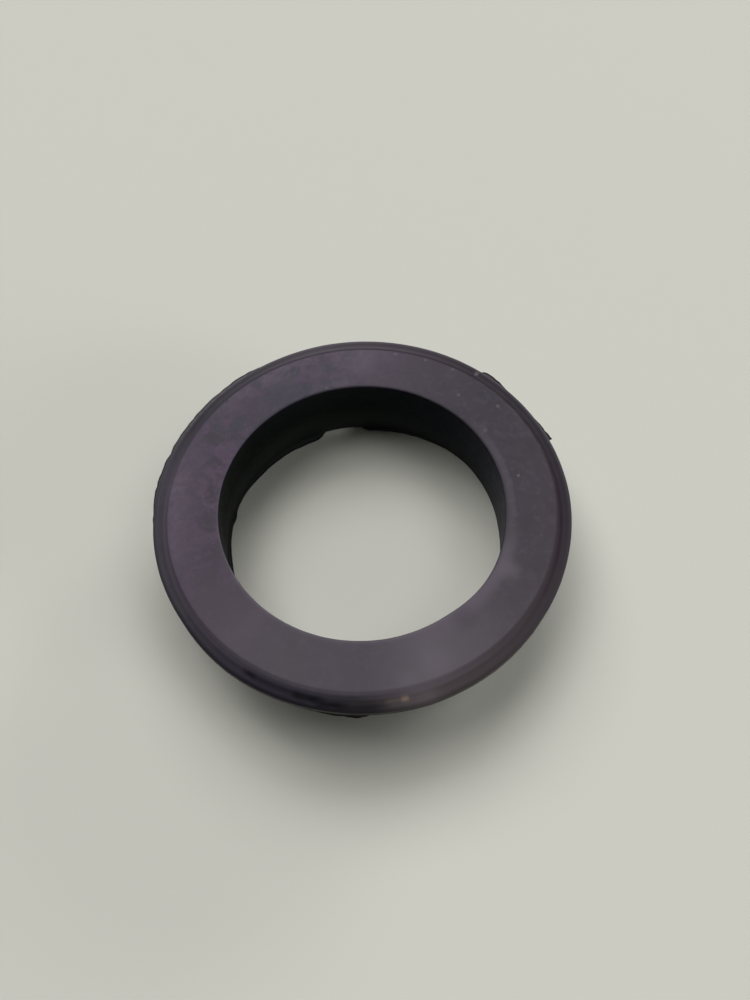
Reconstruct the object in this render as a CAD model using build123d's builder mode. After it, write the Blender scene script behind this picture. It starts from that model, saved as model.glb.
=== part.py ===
"""Rubber bump stop ring, moulded in one piece.

A flat-faced flange takes the blow. The sleeve below it locates the ring in a round
seat, and a rod or tube runs through the bore.

Frame: the origin is on the ring's axis, at the foot of the sleeve, and +Z points to
the bump face. Angles are in degrees from +X, anticlockwise seen from above.

The moulding is untrimmed. A torn web of flash stands into the bore round its foot,
one piece of the foot came away with it, and tags of flash stand out from the parting
line half way down the rim.
"""

import os
from math import cos, radians, sin

from build123d import *

# Ring, in millimetres
height = 10.6  # foot of the sleeve to the bump face
bore_radius = 17.5  # straight land next to the bump face
bore_land = 3.0  # length of that land
bore_flare = 0.6  # how much wider the bore is at the foot than at the land
face_width = 6.2  # flat bump face, from the bore outwards
shoulder_width = 1.75  # sloping ledge outside the bump face
shoulder_drop = 0.45  # fall of that ledge, from the face to the rim
rim_depth = 1.45  # upright band of the rim, under the ledge
sleeve_wall = 2.9  # sleeve beside the land, from the bore to its outside

# Edges
face_chamfer = 0.15  # both edges of the bump face
rim_chamfer = 0.12  # both edges of the rim
root_fillet = 0.8  # corner between the flange and the sleeve
foot_chamfer = 0.4  # outer edge of the sleeve's foot

# Flash
flash_thickness = 0.2
flash_root = 0.6  # how far a piece of flash reaches into the ring's solid

# Each piece of flash is a list of (angle, reach from the wall) along its torn edge.
bore_flash = [
    [
        (50, 0.02),
        (54, 0.09),
        (58, 0.17),
        (62, 0.22),
        (66, 0.32),
        (70, 0.36),
        (74, 0.43),
        (79, 0.54),
        (85.5, 0.55),
        (88, 0.34),
        (89, 0.15),
    ],
    [
        (107.2, 0.20),
        (108, 0.42),
        (110, 0.55),
        (118, 0.55),
        (126, 0.55),
        (134, 0.55),
        (141, 0.54),
        (144, 0.47),
        (148, 0.42),
        (150, 0.32),
        (153, 0.25),
        (160, 0.23),
        (163, 0.30),
        (166, 0.51),
        (168, 0.48),
        (170, 0.36),
        (175, 0.38),
        (180, 0.46),
        (188, 0.54),
        (197, 0.48),
        (206, 0.33),
        (215, 0.14),
    ],
]
rim_flash = [
    [
        (19.3, 0.62),
        (21, 0.54),
        (23, 0.45),
        (25, 0.36),
        (28, 0.20),
        (38, 0.20),
        (41, 0.42),
        (43, 0.58),
        (46, 0.74),
        (48.2, 0.78),
        (49, 0.66),
        (50.8, 0.02),
    ],
    [
        (119, 0.02),
        (121, 0.45),
        (124, 0.60),
        (128, 0.69),
        (131, 0.62),
        (135, 0.58),
        (140, 0.62),
        (144, 0.60),
        (147, 0.53),
        (153, 0.52),
        (158, 0.50),
        (160, 0.42),
        (163, 0.52),
        (168, 0.50),
        (172, 0.46),
        (176, 0.37),
        (181, 0.22),
        (186, 0.10),
        (190, 0.02),
    ],
    [(250, 0.02), (257, 0.12), (263, 0.22), (267.5, 0.30), (269.5, 0.20), (271, 0.02)],
]

# Torn notch in the foot, on the side between the two pieces of bore flash
notch_angle = 98.1
notch_width = 5.6
notch_height = 0.48
notch_slope = 0.8  # run of its sloping end
notch_step = 0.16  # drop of its top edge towards the other end

# Sizes that follow from the ones above
face_radius = bore_radius + face_width
rim_radius = face_radius + shoulder_width
foot_bore_radius = bore_radius + bore_flare
sleeve_radius = bore_radius + sleeve_wall
land_bottom = height - bore_land
rim_top = height - shoulder_drop
rim_bottom = rim_top - rim_depth
parting_height = (rim_top + rim_bottom) / 2
foot_width = sleeve_radius - foot_bore_radius


def polar(radius, angle):
    """Point in the XY plane at an angle in degrees."""
    return (radius * cos(radians(angle)), radius * sin(radians(angle)))


def flash_outline(torn_edge, wall_radius, outward):
    """Closed outline of one piece of flash on a round wall; outward is 1 or -1."""
    root_radius = wall_radius - outward * flash_root
    first_angle = torn_edge[0][0]
    last_angle = torn_edge[-1][0]
    free_points = [polar(wall_radius + outward * reach, angle) for angle, reach in torn_edge]
    root_middle = polar(root_radius, (first_angle + last_angle) / 2)
    free_edge = Polyline(*free_points)
    root_edge = ThreePointArc(polar(root_radius, first_angle), root_middle, polar(root_radius, last_angle))
    Line(free_edge @ 0, root_edge @ 0)
    Line(free_edge @ 1, root_edge @ 1)


with BuildPart() as bump_stop_ring:
    # Half section of the ring, turned about the axis
    with BuildSketch(Plane.XZ):
        with BuildLine():
            Polyline(
                (foot_bore_radius, 0),
                (bore_radius, land_bottom),
                (bore_radius, height),
                (face_radius, height),
                (rim_radius, rim_top),
                (rim_radius, rim_bottom),
                (sleeve_radius, rim_bottom),
                (sleeve_radius, 0),
                close=True,
            )
        make_face()
    revolve(axis=Axis.Z)

    # Edges, picked by their height and then by their radius
    circles = bump_stop_ring.edges().filter_by(GeomType.CIRCLE)
    face_edges = circles.filter_by_position(Axis.Z, height, height)
    rim_edges = circles.filter_by(lambda edge: abs(edge.radius - rim_radius) < rim_chamfer)
    root_edge = circles.filter_by_position(Axis.Z, rim_bottom, rim_bottom).sort_by(SortBy.RADIUS)[0]
    foot_edge = circles.filter_by_position(Axis.Z, 0, 0).sort_by(SortBy.RADIUS)[-1]
    chamfer(face_edges, length=face_chamfer)
    chamfer(rim_edges, length=rim_chamfer)
    fillet(root_edge, radius=root_fillet)
    chamfer(foot_edge, length=foot_chamfer)

    # Torn notch, cut outwards through the foot
    notch_side = Vector(*polar(1, notch_angle + 90))
    notch_outward = Vector(*polar(1, notch_angle))
    notch_plane = Plane(origin=(0, 0, 0), x_dir=notch_side, z_dir=notch_outward)
    with BuildSketch(notch_plane.offset(foot_bore_radius - foot_width)):
        with BuildLine():
            Polyline(
                (-notch_width / 2, 0),
                (-notch_width / 2, notch_height),
                (notch_width / 2 - notch_slope, notch_height - notch_step),
                (notch_width / 2, 0),
                close=True,
            )
        make_face()
    extrude(amount=3 * foot_width, mode=Mode.SUBTRACT)

    # Torn web of flash round the foot of the bore
    for torn_edge in bore_flash:
        with BuildSketch(Plane.XY):
            with BuildLine():
                flash_outline(torn_edge, foot_bore_radius, -1)
            make_face()
        extrude(amount=flash_thickness)

    # Tags of flash on the parting line of the rim
    for torn_edge in rim_flash:
        with BuildSketch(Plane.XY.offset(parting_height - flash_thickness / 2)):
            with BuildLine():
                flash_outline(torn_edge, rim_radius, 1)
            make_face()
        extrude(amount=flash_thickness)

bump_stop_ring.part.label = "bump_stop_ring"

os.makedirs("parts", exist_ok=True)
export_step(bump_stop_ring.part, "parts/bump_stop_ring.step")
print("solids", len(bump_stop_ring.part.solids()), "volume", round(bump_stop_ring.part.volume, 2))
print("box", bump_stop_ring.part.bounding_box())
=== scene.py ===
import math
import random

import bpy
from mathutils import Matrix, Vector, noise


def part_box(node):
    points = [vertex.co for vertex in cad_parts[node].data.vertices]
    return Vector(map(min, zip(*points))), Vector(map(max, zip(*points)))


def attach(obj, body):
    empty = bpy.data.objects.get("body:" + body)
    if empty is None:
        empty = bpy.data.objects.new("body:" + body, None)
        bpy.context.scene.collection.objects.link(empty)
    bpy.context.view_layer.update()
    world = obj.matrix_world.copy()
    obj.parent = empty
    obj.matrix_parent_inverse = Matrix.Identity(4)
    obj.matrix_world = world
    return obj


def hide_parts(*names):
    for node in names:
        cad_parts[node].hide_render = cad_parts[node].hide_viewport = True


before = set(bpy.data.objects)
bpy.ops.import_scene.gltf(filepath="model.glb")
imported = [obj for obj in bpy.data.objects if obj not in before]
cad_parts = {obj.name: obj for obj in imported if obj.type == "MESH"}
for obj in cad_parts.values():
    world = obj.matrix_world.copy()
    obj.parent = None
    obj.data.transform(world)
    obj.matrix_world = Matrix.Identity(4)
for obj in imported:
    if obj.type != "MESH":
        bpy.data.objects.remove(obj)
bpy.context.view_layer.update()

# The ring is one lathe-like mesh. Its section changes with the angle, so that the torn flash,
# the notch in the foot and the pits are all real shape. Sizes here are in millimetres from the
# ring's axis and from its foot, and angles are in degrees from +X, anticlockwise from above.
# A name that ends in _at is a place round the ring: its middle angle, and how many degrees away
# from that it has faded out.

MM = 0.001
TURN = 360.0

# ---------------------------------------------------------------- sizes, as in the solid
box_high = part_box("bump_stop_ring")[1]
height = box_high.z / MM
rim_radius = box_high.x / MM
bore_radius = 17.5
foot_bore_radius = 18.1
land_bottom = 7.6
face_radius = 23.7
rim_bottom = 8.7
parting_height = 9.425
sleeve_radius = 20.4
root_fillet = 0.8
foot_chamfer = 0.4

# ---------------------------------------------------------------- edges that the solid leaves out
inner_round = 0.2  # edge between the bore and the bump face
inner_wear = 0.3  # how much rounder it is where it is worn
inner_worn_at = (300, 110)
bore_wear = 0.3  # how much wider the upper bore is where it is rubbed
bore_worn_at = (325, 26)
face_round = 0.16  # outer edge of the bump face
face_wear = 0.3  # how much rounder it is where it is worn
face_worn_at = (268, 105)
face_round_end = 12  # where that edge ends on its own circle, which has its top at 90
face_end_wear = 50  # how much sooner it ends where it is worn
groove = [(0.3, 0.31), (0.6, 0.43), (0.85, 0.45)]  # (width, depth) from the face's edge
groove_wear = 0.22  # share of its depth that is lost where the face's edge is worn
bead_round = 0.48  # rounded outer edge of the flange
bead_drop = 0.8  # from the face down to the middle of that round
bead_start = 122  # where it starts on its own circle
bead_start_wear = 28  # how much later it starts where the face's edge is worn
upper_proud = 0.05  # the upper mould half is that much larger at the parting line
lower_short = 0.1  # and the lower half that much smaller
rim_round = 0.15  # lower edge of the rim

# ---------------------------------------------------------------- flash
witness = 0.03  # least height of the parting line
witness_change = 0.5  # share by which that height changes
web_thickness = 0.2
torn_width = 0.28  # the thin, dark last bit of the flash
tip_half = 0.03  # half of the thickness left at its end
neck_share = 0.75  # thickness where that bit starts, as a share of the root's
neck_fall = 0.6  # droop there, as a share of the tip's
tear_share = 0.65  # thickness a quarter of the way along it
tear_fall = 0.7  # and the droop there
tear_under = 0.01  # how much sooner it starts on its lower side
tear_bloom_and_light = 0.45  # how much paler the tear is on the far left, where bloom has settled on it and painted light falls on it
tear_bloom_and_light_at = (145, 45)
crease_shade = 0.6  # how dark the painted shade in the crease at the root of the flash is, from 0 to 1
crease_start = 0.15  # reach from which its root shows as a crease
crease_run = 0.3  # further reach over which the crease darkens
short_tag = 0.35  # a tag shorter than that has torn over all its width
rim_jag = 0.05  # teeth of the rim's torn edge
rim_fine_jag = 0.02  # and the finer ones on them
rim_jag_full = 0.2  # a tag shorter than that has smaller teeth
rim_jag_least = 0.02  # and one shorter than that has none
web_jag = 0.025  # teeth of the web's torn edge
web_fine_jag = 0.01  # and the finer ones on them
web_jag_least = 0.03  # a web shorter than that has none
web_least = 0.015  # reach of the web where nothing of it is left
web_behind = 0.05  # how far behind the bore's wall the web starts under the foot
web_tip = (0.02, 0.07)  # heights of its torn edge over the foot
web_lean = 0.005  # how much further the upper of these reaches
web_neck_share = 0.7  # thickness where its torn bit starts
web_corner = (0.02, 0.03)  # inward and upward size of the corner between web and wall

# Torn edges as (angle, reach from the wall)
bore_webs = [
    [
        (50, 0.04),
        (54, 0.09),
        (58, 0.17),
        (62, 0.22),
        (66, 0.32),
        (70, 0.36),
        (74, 0.43),
        (78, 0.53),
        (82, 0.60),
        (85.5, 0.61),
        (87, 0.50),
        (88, 0.34),
        (89.5, 0.0),
    ],
    [
        (106, 0.0),
        (107, 0.18),
        (108, 0.44),
        (109, 0.61),
        (110, 0.74),
        (112, 0.82),
        (120, 0.77),
        (124, 0.63),
        (130, 0.66),
        (132, 0.59),
        (142, 0.54),
        (144, 0.47),
        (148, 0.42),
        (150, 0.32),
        (152, 0.27),
        (160, 0.23),
        (163, 0.30),
        (166, 0.51),
        (168, 0.48),
        (170, 0.36),
        (175, 0.38),
        (184, 0.50),
        (188, 0.54),
        (195, 0.50),
        (205, 0.35),
        (215, 0.15),
        (220, 0.0),
    ],
]
rim_tags = [
    [
        (19.2, 0.0),
        (19.3, 0.62),
        (21, 0.54),
        (25, 0.36),
        (28, 0.26),
        (38, 0.24),
        (41, 0.42),
        (43, 0.58),
        (46, 0.74),
        (48.2, 0.78),
        (49, 0.66),
        (50.8, 0.0),
    ],
    [(77, 0.0), (79, 0.10), (82, 0.10), (84, 0.0)],
    [
        (119, 0.0),
        (121, 0.45),
        (124, 0.60),
        (128, 0.69),
        (131, 0.62),
        (135, 0.58),
        (140, 0.62),
        (144, 0.60),
        (147, 0.53),
        (158, 0.50),
        (160, 0.42),
        (163, 0.52),
        (168, 0.50),
        (172, 0.46),
        (176, 0.37),
        (181, 0.22),
        (190, 0.0),
    ],
    [(250, 0.0), (257, 0.12), (263, 0.22), (267.5, 0.30), (269.5, 0.20), (271, 0.0)],
]
drooping_tag = [(252, 0.0), (258, 0.10), (267.5, 0.20), (270, 0.0)]  # fall of the front tag's tip

# Torn notch in the foot, as (angle, height over the floor)
notch = [(88.6, 0.0), (89.4, 0.34), (98, 0.33), (105.5, 0.26), (107.3, 0.0)]
notch_opening = 3.0  # how many times higher it is on the sleeve's outside, to let light in
foot_jag = 0.03  # teeth of its torn edge
foot_jag_least = 0.05  # where the notch is lower than that, it has none

# How much wider the bore is at the foot
foot_swell = [
    (0, -0.09),
    (4, -0.08),
    (10, 0.0),
    (24, 0.14),
    (38, 0.30),
    (46, 0.22),
    (56, 0.05),
    (87, 0.08),
    (90, -0.09),
    (98, -0.07),
    (104, 0.0),
    (130, 0.02),
    (150, 0.06),
    (162, 0.1),
    (176, 0.04),
    (186, 0.0),
    (345, 0.0),
    (354, -0.09),
    (360, -0.09),
]
# How far the flange's outer edge is off a true circle
rim_drift = [
    (0, 0.03),
    (56, 0.09),
    (100, 0.09),
    (116, 0.0),
    (178, 0.0),
    (200, -0.12),
    (214, -0.26),
    (232, -0.06),
    (262, 0.02),
    (285, 0.14),
    (304, 0.06),
    (322, -0.1),
    (345, -0.05),
    (360, 0.03),
]

# Pits and dents as (angle, radius, size, depth), on the flange's rounded edge
pits = [
    (238.1, 24.6, 0.42, 0.14),
    (251.6, 24.75, 0.5, 0.16),
    (256.1, 24.85, 0.5, 0.14),
    (261.5, 24.9, 0.45, 0.12),
    (204.0, 24.8, 0.35, 0.06),
    (215.5, 25.0, 0.3, 0.07),
]

# Unevenness of the moulding, as (size, scale round the ring, scale across it)
sag_waves = [(0.018, 2.2, 0.12), (0.008, 9.0, 0.5)]  # of the upper side
wall_waves = [(0.02, 3.0, 0.3), (0.008, 14.0, 0.8)]  # of the walls
upper_start = 9.9  # height above which the upper side sags
upper_run = 0.3  # height over which that comes in
drift_start = 0.3  # width outside the face from which the flange drifts off its circle
drift_run = 1.2  # width over which that comes in

# ---------------------------------------------------------------- mesh
grid_step = 0.5  # degrees from one section to the next
abrupt_ends = (19.2, 19.3)  # sections of their own, where a tag ends in one straight tear
abrupt_gap = 0.04  # even sections nearer than that to one of them are left out
sharp_angle = 38  # edges steeper than that stay sharp


def along(points, angle):
    """Value at an angle on an edge given as (angle, value) points, and nothing outside them."""
    for (first, low), (last, high) in zip(points, points[1:]):
        if first <= angle <= last:
            return low + (high - low) * (angle - first) / (last - first)
    return 0.0


def between(angle, other):
    """Angle from other to angle the short way round, from -180 to 180."""
    return (angle - other + TURN / 2) % TURN - TURN / 2


def near(angle, middle, half_width):
    """1 at the middle angle, falling smoothly to 0 at half_width degrees from it."""
    away = abs(between(angle, middle)) / half_width
    return max(0.0, 1 - away * away) ** 2


def rise(value, start, run_up):
    """0 up to start, then rising evenly to 1 over run_up."""
    return min(1.0, max(0.0, (value - start) / run_up))


def facets(seed, step):
    """An edge that tears in short straight bits: random values at even steps round the ring."""
    draw = random.Random(seed)
    values = [draw.uniform(-1, 1) for _ in range(round(TURN / step))]

    def value(angle):
        place = (angle % TURN) / step
        first = int(place)
        share = place - first
        low, high = values[first % len(values)], values[(first + 1) % len(values)]
        return low * (1 - share) + high * share

    return value


rim_jags = facets(11, 1.5)
fine_jags = facets(12, 0.75)
web_jags = facets(13, 2.0)
foot_jags = facets(14, 1.2)


def wave(angle, scale, layer):
    """Smooth unevenness round the ring, from -1 to 1."""
    turn = math.radians(angle)
    return noise.noise(Vector((math.cos(turn) * scale, math.sin(turn) * scale, layer)))


def tag_reach(angle):
    """How far the flash stands out from the rim."""
    reach = max(along(tag, angle) for tag in rim_tags)
    jags = rim_jag * rim_jags(angle) + rim_fine_jag * fine_jags(angle)
    if reach > rim_jag_least:
        reach += rise(reach, 0.0, rim_jag_full) * jags
    return max(reach, witness * (1 + witness_change * fine_jags(angle)))


def web_reach(angle):
    """How far the flash stands into the bore."""
    reach = max(along(web, angle) for web in bore_webs)
    if reach > web_jag_least:
        reach += web_jag * web_jags(angle) + web_fine_jag * fine_jags(angle)
    return max(reach, web_least)


def arc(centre, radius, start, end, steps):
    """Points on an arc of the section, both ends included."""
    points = []
    for step in range(steps + 1):
        turn = math.radians(start + (end - start) * step / steps)
        points.append((centre[0] + radius * math.cos(turn), centre[1] + radius * math.sin(turn)))
    return points


def run(start, end, steps):
    """Points on a straight run of the section, without its two ends."""
    points = []
    for step in range(1, steps):
        share = step / steps
        radius = start[0] + (end[0] - start[0]) * share
        up = start[1] + (end[1] - start[1]) * share
        points.append((radius, up))
    return points


def section(angle):
    """Closed section at an angle, from the bore's top edge outwards.

    Gives its (radius, height) points, and how dark the torn edge, and the painted shade in the
    crease at the flash's root, make some of them, as {place in the list: 0 to 1}."""
    worn = near(angle, *face_worn_at)
    inner = inner_round + inner_wear * near(angle, *inner_worn_at)
    upper_bore = bore_radius + bore_wear * near(angle, *bore_worn_at)
    outer = face_round + face_wear * worn
    outer_end = face_round_end + face_end_wear * worn
    points = arc((upper_bore + inner, height - inner), inner, 180, 90, steps=4)
    points += run((upper_bore + inner, height), (face_radius - outer, height), steps=20)
    points += arc((face_radius - outer, height - outer), outer, 90, outer_end, steps=5)

    # Groove, and the flange's rounded outer edge
    upper_radius = rim_radius + upper_proud
    depth_left = 1 - groove_wear * worn
    points += [(face_radius + width, height - depth * depth_left) for width, depth in groove]
    bead_centre = (upper_radius - bead_round, height - bead_drop)
    bead = arc(bead_centre, bead_round, bead_start - bead_start_wear * worn, 0, steps=9)
    points += bead

    # Rim and its flash
    reach = max(tag_reach(angle), upper_proud + witness)
    inset = max(reach - torn_width, (reach + upper_proud) / 2)
    fall = along(drooping_tag, angle)
    root_half = web_thickness / 2
    lower_radius = rim_radius - lower_short
    points += run(bead[-1], (upper_radius, parting_height + root_half), steps=3)
    root = len(points)
    # the torn edge is paler on the far left: bloom and painted light
    edge_dark = 1 - tear_bloom_and_light * near(angle, *tear_bloom_and_light_at)
    # painted shade in the crease at the flash's root, darker the further the flash stands out
    torn_and_crease_shade = {root: crease_shade * rise(reach, crease_start, crease_run)}
    torn_and_crease_shade.update({root + 2: edge_dark, root + 3: edge_dark, root + 4: edge_dark})
    if crease_start < reach < short_tag:
        torn_and_crease_shade[root + 1] = edge_dark
    neck_half = root_half * neck_share
    tear_radius = rim_radius + (inset * 3 + reach) / 4
    points += [
        (upper_radius, parting_height + root_half),
        (rim_radius + inset, parting_height + neck_half - fall * neck_fall),
        (tear_radius, parting_height + root_half * tear_share - fall * tear_fall),
        (rim_radius + reach, parting_height + tip_half - fall),
        (rim_radius + reach, parting_height - tip_half - fall),
        (rim_radius + inset - tear_under, parting_height - neck_half - fall * neck_fall),
        (lower_radius, parting_height - root_half),
    ]
    rim_foot = (lower_radius, rim_bottom + rim_round)
    points += run((lower_radius, parting_height - root_half), rim_foot, steps=3)
    points += arc((lower_radius - rim_round, rim_bottom + rim_round), rim_round, 0, -90, steps=3)

    # Seat, fillet and sleeve
    fillet_centre = (sleeve_radius + root_fillet, rim_bottom - root_fillet)
    fillet = arc(fillet_centre, root_fillet, 90, 180, steps=6)
    points += run((lower_radius - rim_round, rim_bottom), fillet[0], steps=6)
    points += fillet
    lift = along(notch, angle)
    if lift > foot_jag_least:
        lift += foot_jag * foot_jags(angle)
    outer_lift = lift * notch_opening
    sleeve_foot = (sleeve_radius, outer_lift + foot_chamfer)
    foot_edge = (sleeve_radius - foot_chamfer, outer_lift)
    points += run(fillet[-1], sleeve_foot, steps=9)
    points += [sleeve_foot, foot_edge]

    # Foot, and the web of flash round it
    reach = web_reach(angle)
    inset = max(reach - torn_width, reach / 2)
    foot_bore = foot_bore_radius + along(foot_swell, angle)
    foot_corner = (foot_bore + web_behind, lift)
    points += run(foot_edge, foot_corner, steps=5)
    web_top = (foot_bore - web_corner[0], lift + web_thickness + web_corner[1])
    tip = len(points) + 1
    torn_and_crease_shade.update({tip: 1.0, tip + 1: 1.0})
    points += [
        foot_corner,
        (foot_bore - reach, lift + web_tip[0]),
        (foot_bore - reach - web_lean, lift + web_tip[1]),
        (foot_bore - inset, lift + web_thickness * web_neck_share),
        web_top,
    ]

    # Flared bore, and the straight land under the bump face
    land_end = (upper_bore, land_bottom)
    points += run(web_top, land_end, steps=11)
    points.append(land_end)
    points += run(land_end, points[0], steps=6)
    return points, torn_and_crease_shade


def dents(angle, radius):
    """Depth of the pits at a place on the upper side."""
    depth = 0.0
    for pit_angle, pit_radius, size, deep in pits:
        across = math.radians(between(angle, pit_angle)) * radius
        distance = math.hypot(across, radius - pit_radius) / size
        if distance < 1:
            depth += deep * (1 - distance * distance) ** 2
    return depth


def grid_angles():
    """Even steps round the ring, and a section of its own at each abrupt end of the flash."""
    angles = [step * grid_step for step in range(round(TURN / grid_step))]
    for end in abrupt_ends:
        angles = [angle for angle in angles if abs(angle - end) > abrupt_gap]
        angles.append(end)
    return sorted(angles)


def settle(angle, radius, up):
    """A point of the section as moulded, in metres: not quite flat or round, and with pits."""
    upper = rise(up, upper_start, upper_run)
    outer = rise(radius, face_radius + drift_start, drift_run)
    sag = 0.0
    for size, scale, across in sag_waves:
        sag += size * (1 + wave(angle, scale, radius * across))
    if radius > face_radius:
        sag += dents(angle, radius)
    up = max(0.0, up - upper * sag)
    radius += sum(size * wave(angle, scale, up * across) for size, scale, across in wall_waves)
    radius += outer * along(rim_drift, angle)
    turn = math.radians(angle)
    return (radius * math.cos(turn) * MM, radius * math.sin(turn) * MM, up * MM)


def ring_mesh():
    """The whole ring as one closed grid of quads, with its torn edges and the painted shade in
    their creases marked for the material.
    """
    angles = grid_angles()
    vertices = []
    torn_and_crease_shade_marks = []
    for angle in angles:
        points, torn_and_crease_shade = section(angle)
        vertices += [settle(angle, radius, up) for radius, up in points]
        torn_and_crease_shade_marks += [torn_and_crease_shade.get(place, 0.0) for place in range(len(points))]
    count = len(vertices) // len(angles)
    quads = []
    for column in range(len(angles)):
        start, after = column * count, (column + 1) % len(angles) * count
        for row in range(count):
            below = (row + 1) % count
            quads.append((start + row, start + below, after + below, after + row))
    mesh = bpy.data.meshes.new("ring_moulding")
    mesh.from_pydata(vertices, [], quads)
    mesh.attributes.new("torn_and_crease_shade", "FLOAT", "POINT").data.foreach_set("value", torn_and_crease_shade_marks)
    mesh.update()
    for polygon in mesh.polygons:
        polygon.use_smooth = True
    mesh.set_sharp_from_angle(angle=math.radians(sharp_angle))
    return mesh


# ---------------------------------------------------------------- materials
# Where one finish gives way to the next, as (all of the first, all of the second)
face_to_groove = (face_radius - 0.3, face_radius + 0.12)  # radius
groove_to_bead = (face_radius + 0.3, face_radius + 0.7)  # radius
bead_to_rim = (10.05, 9.75)  # height
rim_to_bare = (rim_bottom + 0.3, rim_bottom)  # height
face_to_bore = (height - 0.16, height - 0.3)  # height
bore_side = (19.0, 18.5)  # radius inside which that is so
bore_to_foot = (height - 4.0, 0.0)  # height
bore_to_edge = (height - 0.9, height - 0.4)  # height, for the dark line under the face
side_to_top = (height - 0.9, height - 0.7)  # height, for marks that only the upper side has

# Places of the bloom and of what lies in it, and of the painted sheen, highlights and shade on the
# bump face and its edge
# veils of bloom that also hold painted sheen on the far side
veil_and_sheen_at = (112, 44)
left_veil_and_sheen_at = (176, 28)
# painted highlight on the inner edge of the face at the near right
inner_highlight_at = (317, 35)
pale_lip_at = (8, 32)
# painted shade on the inner left of the face
inner_left_shade_at = (172, 42)
wisps_at = (145, 90)
smudges_at = (124, 46)
grain_at = (130, 110)
# painted highlight, mottled, on the outer edge at the far left
edge_highlight_at = (139, 30)
groove_in_at = (320, 45)
groove_in = 0.1  # how much further in the groove's tone starts there
groove_out_at = (240, 50)
groove_out = 0.13  # how much further out it starts there

# Sheen and relief
rubber_gloss = 0.06
floor_gloss = 0.1
relief_depth = 0.03
skin_share = 0.35  # the fine grain's part of the relief, against the swell's 1

# Colours round the ring as (angle, colour), where colours are the usual 0 to 255 values. Besides
# the rubber's own tone and bloom, they hold painted light and shade: each side is lighter or
# darker as light falls on it
# Bump face: bloom, with painted sheen on the far side and a painted reflection at the front right
face_bloom_and_light_tones = [
    (0, (62, 57, 63)),
    (45, (61, 57, 64)),
    (60, (66, 61, 68)),
    (80, (76, 69, 79)),
    (95, (86, 79, 89)),
    (112, (77, 72, 81)),
    (150, (66, 61, 69)),
    (178, (75, 68, 78)),
    (198, (71, 64, 74)),
    (219, (75, 68, 77)),
    (228, (80, 73, 82)),
    (237, (76, 70, 78)),
    (245, (77, 71, 78)),
    (270, (75, 70, 77)),
    (289, (89, 83, 90)),
    (305, (82, 76, 83)),
    (322, (69, 63, 70)),
    (340, (64, 59, 65)),
]
# Groove: painted shade, darker where its slope faces away from the light, with a painted highlight
# at the front right
groove_tones_and_shade = [
    (0, (40, 33, 40)),
    (25, (36, 30, 37)),
    (50, (34, 28, 35)),
    (70, (42, 35, 42)),
    (105, (52, 46, 54)),
    (135, (53, 49, 57)),
    (155, (62, 57, 65)),
    (172, (78, 72, 81)),
    (195, (75, 68, 78)),
    (230, (65, 58, 69)),
    (257, (50, 46, 54)),
    (266, (47, 43, 50)),
    (273, (63, 57, 63)),
    (284, (84, 77, 83)),
    (310, (63, 57, 62)),
    (340, (48, 41, 47)),
]
# Rounded outer edge: painted light on the far side, painted shade on the near left, and a painted
# highlight at the front right
bead_tones_and_light = [
    (0, (48, 43, 50)),
    (30, (54, 50, 56)),
    (50, (56, 51, 58)),
    (70, (70, 64, 71)),
    (104, (80, 75, 82)),
    (120, (71, 67, 73)),
    (150, (54, 50, 57)),
    (168, (66, 61, 69)),
    (203, (57, 53, 60)),
    (223, (44, 41, 48)),
    (240, (36, 33, 41)),
    (258, (31, 29, 35)),
    (271, (36, 33, 35)),
    (280, (66, 60, 62)),
    (285, (74, 68, 70)),
    (290, (62, 56, 58)),
    (303, (57, 51, 54)),
    (330, (50, 44, 49)),
]
# Rim band: painted light and shade round the ring, with painted bounce light making it pale on the
# near left
rim_tones_and_light = [
    (0, (60, 56, 60)),
    (20, (56, 53, 57)),
    (35, (44, 42, 46)),
    (56, (72, 68, 73)),
    (90, (78, 74, 80)),
    (122, (90, 86, 92)),
    (145, (88, 85, 90)),
    (175, (80, 76, 82)),
    (205, (84, 81, 85)),
    (228, (100, 98, 100)),
    (252, (94, 93, 92)),
    (266, (72, 72, 69)),
    (280, (63, 62, 58)),
    (300, (82, 81, 76)),
    (330, (74, 71, 71)),
]
# Foot of the bore's wall: painted bounce light from the floor, lighter than the wall above
foot_tones_and_bounce = [
    (0, (62, 63, 66)),
    (40, (46, 49, 50)),
    (70, (54, 59, 58)),
    (95, (61, 66, 64)),
    (125, (46, 50, 48)),
    (150, (34, 37, 36)),
    (200, (42, 44, 43)),
]
# Bore's wall: painted light and shade, lit on the right and in deep shade on the far left
bore_tones_and_light = [
    (0, (60, 60, 66)),
    (12, (54, 55, 61)),
    (25, (43, 44, 52)),
    (50, (23, 25, 32)),
    (90, (13, 18, 17)),
    (140, (3, 6, 5)),
    (175, (8, 11, 9)),
    (200, (16, 17, 17)),
]

# Dark stains with painted shade in the pits under them and pale crumbs with a painted glint on the
# flange's rounded edge, and a wine-red line of painted shade in the corner of the groove, as
# (angle, half its length in degrees, radius, half its width, share)
# dark stains, with painted shade in the pits that lie under them
stains_and_pit_shade = [
    (238.1, 3.0, 24.4, 0.55, 0.6),
    (245.5, 9.0, 24.4, 0.6, 0.5),
    (254.5, 5.5, 24.55, 0.65, 1.0),
    (260.5, 5.5, 24.85, 0.6, 1.0),
    (268.5, 8.0, 24.95, 0.5, 0.7),
]
# pale crumbs, which also stand for a painted glint on the rounded edge
crumbs_and_glint = [
    (276.6, 2.8, 24.5, 0.35, 0.12),
    (279.4, 1.3, 24.5, 0.5, 0.42),
]
# a wine-red line of painted shade in the corner of the groove on the right
groove_shade_lines = [
    (17, 66, face_radius + 0.45, 0.42, 0.75),
]

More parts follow.
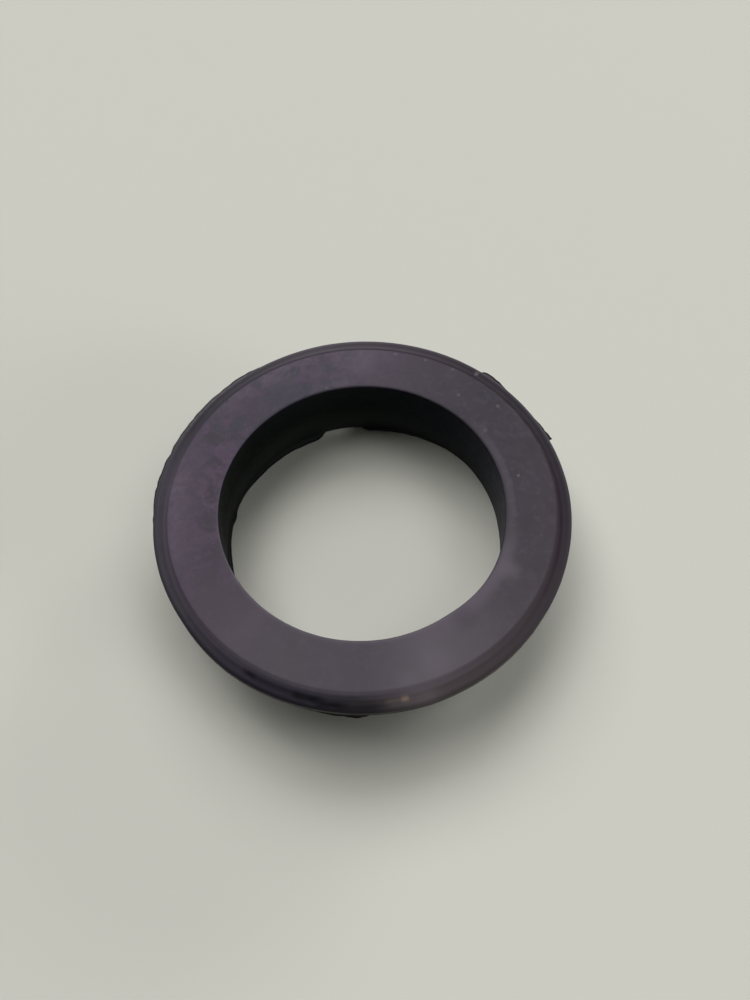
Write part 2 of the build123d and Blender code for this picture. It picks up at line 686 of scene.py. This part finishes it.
# Pale patches, which are bloom and painted reflection, and dark patches of the bloom, as (angle,
# radius, size, share)
pale_patches_and_reflections = [
    (330, 19.6, 2.0, 0.4),
    (281, 22.8, 2.0, 0.22),
    (88, 21.2, 3.2, 0.3),
    (290, 21.4, 3.0, 0.25),
]
dark_patches = [
    (306, 19.0, 2.4, 0.35),
]

# Specks of dust, as (angle, radius, size, share)
specks = [
    (36.4, 22.5, 0.4, 0.2),
    (49.4, 20.3, 0.4, 0.15),
    (8.2, 19.7, 0.32, 0.24),
    (31, 18.8, 0.45, 0.1),
    (57, 23.4, 0.36, 0.14),
    (66.6, 23.3, 0.36, 0.16),
    (76.8, 23.2, 0.36, 0.18),
    (103.4, 17.9, 0.32, 0.2),
    (50, 24.8, 0.45, 0.4),
]

stain_and_pit_shade_tone = (3, 2, 7)
crumb_and_glint_tone = (140, 115, 102)
groove_shade_tone = (24, 12, 22)
pale_patch_and_reflection_tone = (104, 97, 106)
dark_patch_tone = (56, 51, 57)
speck_tone = (150, 145, 150)
edge_highlight_tone = (82, 78, 83)
bore_edge_tone = (18, 13, 30)
tear_tone = (16, 16, 17)
floor_tone = (199, 199, 190)
sky_tone = (203, 203, 194)


def srgb(red, green, blue):
    """Linear colour from the usual 0 to 255 values."""
    linear = []
    for level in (red, green, blue):
        share = level / 255
        linear.append(share / 12.92 if share <= 0.04045 else ((share + 0.055) / 1.055) ** 2.4)
    return (*linear, 1.0)


class Nodes:
    """The nodes of a material or a world, added and linked by short calls."""

    def __init__(self, owner, surface):
        owner.use_nodes = True
        self.tree = owner.node_tree
        self.surface = self.tree.nodes[surface]

    def put(self, socket, value):
        if isinstance(value, bpy.types.NodeSocket):
            self.tree.links.new(value, socket)
        else:
            socket.default_value = value

    def node(self, kind, sockets=(), **settings):
        new = self.tree.nodes.new(kind)
        for name, value in settings.items():
            setattr(new, name, value)
        for name, value in dict(sockets).items():
            self.put(new.inputs[name], value)
        return new

    def math(self, operation, first, second=0.0):
        return self.node("ShaderNodeMath", {0: first, 1: second}, operation=operation).outputs[0]

    def vector(self, operation, first, second=(0.0, 0.0, 0.0)):
        return self.node("ShaderNodeVectorMath", {0: first, 1: second}, operation=operation)

    def noise(self, place, scale, detail=2.0, distortion=0.0, rough=0.5):
        sockets = {"Vector": place, "Scale": scale, "Detail": detail}
        sockets.update({"Distortion": distortion, "Roughness": rough})
        return self.node("ShaderNodeTexNoise", sockets).outputs["Fac"]

    def fade(self, value, start, end, low=0.0, high=1.0):
        """Smooth change from low to high while value goes from start to end."""
        sockets = {"Value": value, "From Min": start, "From Max": end}
        sockets.update({"To Min": low, "To Max": high})
        return self.node("ShaderNodeMapRange", sockets, interpolation_type="SMOOTHSTEP").outputs[0]

    def mix(self, share, first, second):
        new = self.node("ShaderNodeMix", {0: share, 6: first, 7: second}, data_type="RGBA")
        return new.outputs[2]


def rubber_material():
    """Matt black rubber with a purple-grey bloom on its bump face, and painted light and shade in
    its colour round the ring.
    """
    material = bpy.data.materials.new("moulded_rubber")
    shader = Nodes(material, "Principled BSDF")
    surface = shader.surface.inputs
    metres = shader.node("ShaderNodeTexCoord").outputs["Object"]
    scaled = {0: metres, "Scale": 1 / MM}
    place = shader.node("ShaderNodeVectorMath", scaled, operation="SCALE").outputs[0]
    flat_place = shader.vector("MULTIPLY", place, (1.0, 1.0, 0.0)).outputs[0]
    radius = shader.vector("LENGTH", flat_place).outputs["Value"]
    direction = shader.vector("NORMALIZE", flat_place).outputs[0]
    axes = shader.node("ShaderNodeSeparateXYZ", {0: place}).outputs
    up = axes["Z"]
    turns = shader.math("DIVIDE", shader.math("ARCTAN2", axes["Y"], axes["X"]), math.tau)
    angle_share = shader.math("FRACT", shader.math("ADD", turns, 1.0))

    def both(first, second):
        return shader.math("MULTIPLY", first, second)

    def sector(angle, half_width):
        """1 at an angle round the ring, and 0 half_width degrees away from it."""
        turn = math.radians(angle)
        towards = (math.cos(turn), math.sin(turn), 0.0)
        facing = shader.vector("DOT_PRODUCT", direction, towards).outputs["Value"]
        return shader.fade(facing, math.cos(math.radians(half_width)), 1.0)

    def spot(angle, from_axis, size):
        """1 at a place on the upper side, and 0 at size millimetres from it."""
        turn = math.radians(angle)
        centre = (from_axis * math.cos(turn), from_axis * math.sin(turn), 0.0)
        distance = shader.vector("DISTANCE", flat_place, centre).outputs["Value"]
        return shader.fade(distance, size, 0.0)

    def smear(angle, half_length, from_axis, size):
        """1 at a place on the ring, and 0 away from it along the ring or across it."""
        across = shader.math("ABSOLUTE", shader.math("SUBTRACT", radius, from_axis))
        return both(sector(angle, half_length), shader.fade(across, size, 0.0))

    def band(start, end, share=1.0):
        """0 at the radius start, and share at the radius end."""
        return shader.fade(radius, start, end, 0.0, share)

    def cloud(scale, start, end, share, offset=0.0, **kind):
        """Clouds that come up to share where noise passes from start to end."""
        shifted = place
        if offset:
            shifted = shader.vector("ADD", place, (offset, 0.0, 0.0)).outputs[0]
        return shader.fade(shader.noise(shifted, scale, **kind), start, end, 0.0, share)

    def tones(stops):
        """Colours round the ring, from (angle, colour) stops, of which the first is at 0."""
        ramp = shader.node("ShaderNodeValToRGB", {0: angle_share})
        for end in ramp.color_ramp.elements:
            end.color = srgb(*stops[0][1])
        for angle, tone in stops[1:]:
            ramp.color_ramp.elements.new(angle / TURN).color = srgb(*tone)
        return ramp.outputs[0]

    # Bloom on the bump face: pale veils that also hold painted sheen, dull clouds, a painted
    # highlight beside the bore at the near right, a pale lip, painted shade on the inner left,
    # clouds, grain and dust
    dull = cloud(scale=0.16, start=0.35, end=0.65, share=0.3, detail=3.0, distortion=0.4)
    # pale veils: bloom and painted sheen
    veil_and_sheen_sides = shader.math("MAXIMUM", sector(*veil_and_sheen_at), sector(*left_veil_and_sheen_at))
    veil_and_sheen = both(veil_and_sheen_sides, band(20.5, 23.0, 0.8))
    # painted highlight beside the bore at the near right
    inner_highlight = both(sector(*inner_highlight_at), band(20.0, 18.4))
    pale_lip = both(sector(*pale_lip_at), band(18.9, 18.4, 0.7))
    # painted shade on the inner left of the face
    inner_left_shade = both(sector(*inner_left_shade_at), band(20.6, 18.4, 0.6))
    curled = {"detail": 5.0, "distortion": 0.6, "rough": 0.7}
    wisps = cloud(scale=0.33, start=0.43, end=0.6, share=0.9, **curled)
    curled = {"detail": 5.0, "distortion": 0.5, "rough": 0.68}
    smudges = cloud(scale=0.3, start=0.44, end=0.6, share=0.9, offset=40.0, **curled)
    grain = cloud(scale=1.1, start=0.42, end=0.62, share=0.3, detail=3.0, distortion=0.3)
    dust = cloud(scale=1.1, start=0.45, end=0.8, share=0.3)
    layers = [
        (dull, (72, 66, 74)),
        (veil_and_sheen, (91, 83, 95)),
        (inner_highlight, (89, 82, 91)),
        (pale_lip, (77, 71, 79)),
        (inner_left_shade, (60, 55, 63)),
        (both(wisps, sector(*wisps_at)), (83, 70, 86)),
        (both(smudges, sector(*smudges_at)), (66, 65, 75)),
        (both(grain, sector(*grain_at)), (57, 54, 62)),
        (dust, (86, 80, 88)),
    ]
    # face colours round the ring: bloom and painted light
    colour = tones(face_bloom_and_light_tones)
    for mask, tone in layers:
        colour = shader.mix(mask, colour, srgb(*tone))

    # Groove, rounded edge and rim, whose tones round the ring hold painted light and shade; the
    # groove's tone starts further in or out in two places; the mottled outer edge on the far left
    # gets a painted highlight
    further_in = shader.fade(sector(*groove_in_at), 0.0, 1.0, 0.0, groove_in)
    further_out = shader.fade(sector(*groove_out_at), 0.0, 1.0, 0.0, groove_out)
    edge_shift = shader.math("SUBTRACT", further_in, further_out)
    past_face = shader.fade(shader.math("ADD", radius, edge_shift), *face_to_groove)
    colour = shader.mix(past_face, colour, tones(groove_tones_and_shade))
    on_bead = band(*groove_to_bead)
    colour = shader.mix(on_bead, colour, tones(bead_tones_and_light))
    mottle = shader.fade(shader.noise(place, 1.6), 0.38, 0.6, 0.4, 1.0)
    # painted highlight on the mottled outer edge at the far left
    edge_highlight = both(both(sector(*edge_highlight_at), band(24.8, 25.2)), mottle)
    colour = shader.mix(edge_highlight, colour, srgb(*edge_highlight_tone))
    on_rim = both(shader.fade(up, *bead_to_rim), on_bead)
    colour = shader.mix(on_rim, colour, tones(rim_tones_and_light))

    # Bare rubber in the bore, on torn edges and under the flange; the bore's tones hold painted
    # light and shade round the ring, and painted bounce light towards the foot
    bare_and_painted_light = shader.mix(shader.fade(up, *bore_to_foot), tones(bore_tones_and_light), tones(foot_tones_and_bounce))
    below = shader.fade(up, *rim_to_bare)
    in_bore = both(shader.fade(up, *face_to_bore), band(*bore_side))
    colour = shader.mix(shader.math("MAXIMUM", below, in_bore), colour, bare_and_painted_light)
    bore_edge = both(shader.fade(up, *bore_to_edge, 0.0, 0.5), in_bore)
    colour = shader.mix(bore_edge, colour, srgb(*bore_edge_tone))
    # dark torn edges, and painted shade in the crease at the flash's root
    torn_and_crease_shade = shader.node("ShaderNodeAttribute", attribute_name="torn_and_crease_shade").outputs["Fac"]
    colour = shader.mix(torn_and_crease_shade, colour, srgb(*tear_tone))

    # Wine-red lines of painted shade in the groove, pale patches of bloom and painted reflection,
    # dark patches, stains with painted shade in their pits, crumbs with a painted glint, and
    # specks of dust, on the upper side only
    on_top = shader.fade(up, *side_to_top)
    marks = [
        (smear, groove_shade_lines, groove_shade_tone),
        (spot, pale_patches_and_reflections, pale_patch_and_reflection_tone),
        (spot, dark_patches, dark_patch_tone),
        (smear, stains_and_pit_shade, stain_and_pit_shade_tone),
        (smear, crumbs_and_glint, crumb_and_glint_tone),
        (spot, specks, speck_tone),
    ]
    for shape, rows, tone in marks:
        for *place_and_size, share in rows:
            mask = both(both(shape(*place_and_size), on_top), share)
            colour = shader.mix(mask, colour, srgb(*tone))
    shader.put(surface["Base Color"], colour)

    # Roughness and relief
    patches = shader.noise(place, 0.7, detail=3.0, distortion=0.5)
    shader.put(surface["Roughness"], shader.fade(patches, 0.3, 0.7, 0.6, 0.72))
    shader.put(surface["Specular IOR Level"], rubber_gloss)
    skin = shader.noise(place, 5.0, detail=3.0, rough=0.6)
    swell = shader.noise(place, 0.9)
    relief = {
        "Strength": shader.fade(in_bore, 0.0, 1.0, 0.5, 0.15),
        "Distance": relief_depth * MM,
        "Height": shader.math("ADD", both(skin, skin_share), swell),
    }
    shader.put(surface["Normal"], shader.node("ShaderNodeBump", relief).outputs[0])
    return material


def floor_material():
    """Matt pale table."""
    material = bpy.data.materials.new("pale_floor")
    shader = Nodes(material, "Principled BSDF")
    shader.put(shader.surface.inputs["Base Color"], srgb(*floor_tone))
    shader.put(shader.surface.inputs["Roughness"], 0.9)
    shader.put(shader.surface.inputs["Specular IOR Level"], floor_gloss)
    return material


# ---------------------------------------------------------------- pieces
ring = bpy.data.objects.new("rubber_ring", ring_mesh())
bpy.context.scene.collection.objects.link(ring)
ring.data.materials.append(rubber_material())
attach(ring, "root")
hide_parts("bump_stop_ring")

floor_half = 1.5  # half of its side, in metres
quarters = ((-1, -1), (1, -1), (1, 1), (-1, 1))
corners = [(x * floor_half, y * floor_half, 0) for x, y in quarters]
floor_mesh = bpy.data.meshes.new("floor")
floor_mesh.from_pydata(corners, [], [(0, 1, 2, 3)])
floor_mesh.materials.append(floor_material())
floor = bpy.data.objects.new("floor", floor_mesh)
bpy.context.scene.collection.objects.link(floor)


# ---------------------------------------------------------------- light
def soft_sun(name, azimuth, elevation, width, strength):
    """A broad soft source far away, width degrees across, in the direction given."""
    lamp = bpy.data.lights.new(name, "SUN")
    lamp.energy = strength
    lamp.angle = math.radians(width)
    turn, lift = math.radians(azimuth), math.radians(elevation)
    flat = math.cos(lift)
    towards = Vector((math.cos(turn) * flat, math.sin(turn) * flat, math.sin(lift)))
    sun = bpy.data.objects.new(name, lamp)
    sun.rotation_euler = towards.to_track_quat("Z", "Y").to_euler()
    bpy.context.scene.collection.objects.link(sun)


soft_sun("window_back", 50, 9, 24, 2.14)
soft_sun("window_side", 340, 9, 24, 1.63)
soft_sun("key", 120, 45, 30, 1.06)
soft_sun("key_right", 80, 45, 30, 0.91)
soft_sun("overhead", 90, 65, 30, 0.33)
soft_sun("overhead_left", 150, 65, 30, 0.66)
soft_sun("fill", 0, 55, 28, 0.46)

# A pale sky that is seen, also in gloss, but doesn't light the ring
world = bpy.data.worlds.new("studio")
sky = Nodes(world, "Background")
sky.put(sky.surface.inputs["Color"], srgb(*sky_tone))
ray = sky.node("ShaderNodeLightPath").outputs
seen = ray["Is Camera Ray"]
for other in ("Is Glossy Ray", "Is Transmission Ray"):
    seen = sky.math("MAXIMUM", seen, ray[other])
sky.put(sky.surface.inputs["Strength"], seen)
bpy.context.scene.world = world

# ---------------------------------------------------------------- camera
elevation = math.radians(61.02)
roll = math.radians(-2.44)
distance = 110.1 * MM
target = Vector((1.67, 6.05, 0)) * MM
back = Vector((0, -math.cos(elevation), math.sin(elevation)))
side = Vector((1, 0, 0))
upward = back.cross(side)
rolled_side = side * math.cos(roll) + upward * math.sin(roll)
rolled_up = upward * math.cos(roll) - side * math.sin(roll)
camera_data = bpy.data.cameras.new("camera")
camera_data.lens = 28.95
camera_data.sensor_width = 36
camera_data.clip_start = 0.01
camera = bpy.data.objects.new("camera", camera_data)
turned = Matrix((rolled_side, rolled_up, back)).transposed()
camera.matrix_world = Matrix.Translation(target + back * distance) @ turned.to_4x4()
bpy.context.scene.collection.objects.link(camera)
bpy.context.scene.camera = camera

bpy.context.scene.view_settings.view_transform = "Standard"
